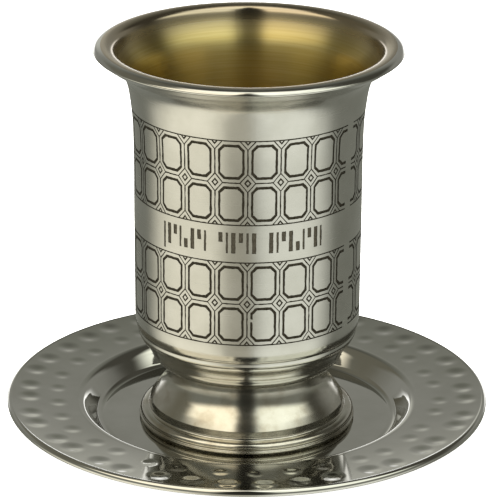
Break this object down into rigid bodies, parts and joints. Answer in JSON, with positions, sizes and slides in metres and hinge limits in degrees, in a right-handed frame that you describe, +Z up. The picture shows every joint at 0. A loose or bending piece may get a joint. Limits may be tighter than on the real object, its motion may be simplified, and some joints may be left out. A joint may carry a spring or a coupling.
{
  "type": "kiddush cup on saucer",
  "caption": "Footed metal cup with a flared lip and bands of sunk octagons, standing on a matching saucer with a hammered rim.",
  "frame": {"origin": "centre of the flat underside of the saucer, on the surface it stands on", "axes": "+Z up along the cup's axis; -Y is the front, which holds the middle of the band of strokes; +X to the right seen from the front"},
  "size_m": [0.1124, 0.1124, 0.0917],
  "materials": {
    "satin_steel": "satin stainless steel with etched dark lines, plain above and below the pattern",
    "etched_steel": "dark, slightly grainy bottom of the strokes etched into the satin steel",
    "gilt_lining": "gold-toned satin lining of the bowl with fine turning lines",
    "polished_steel": "polished stainless steel with warm stains",
    "mirror_steel": "mirror-polished stainless steel with hammered dents round the rim"
  },
  "bodies": {
    "root": {"bowl": "satin_steel", "foot": "polished_steel", "saucer": "mirror_steel"}
  },
  "joints": []
}
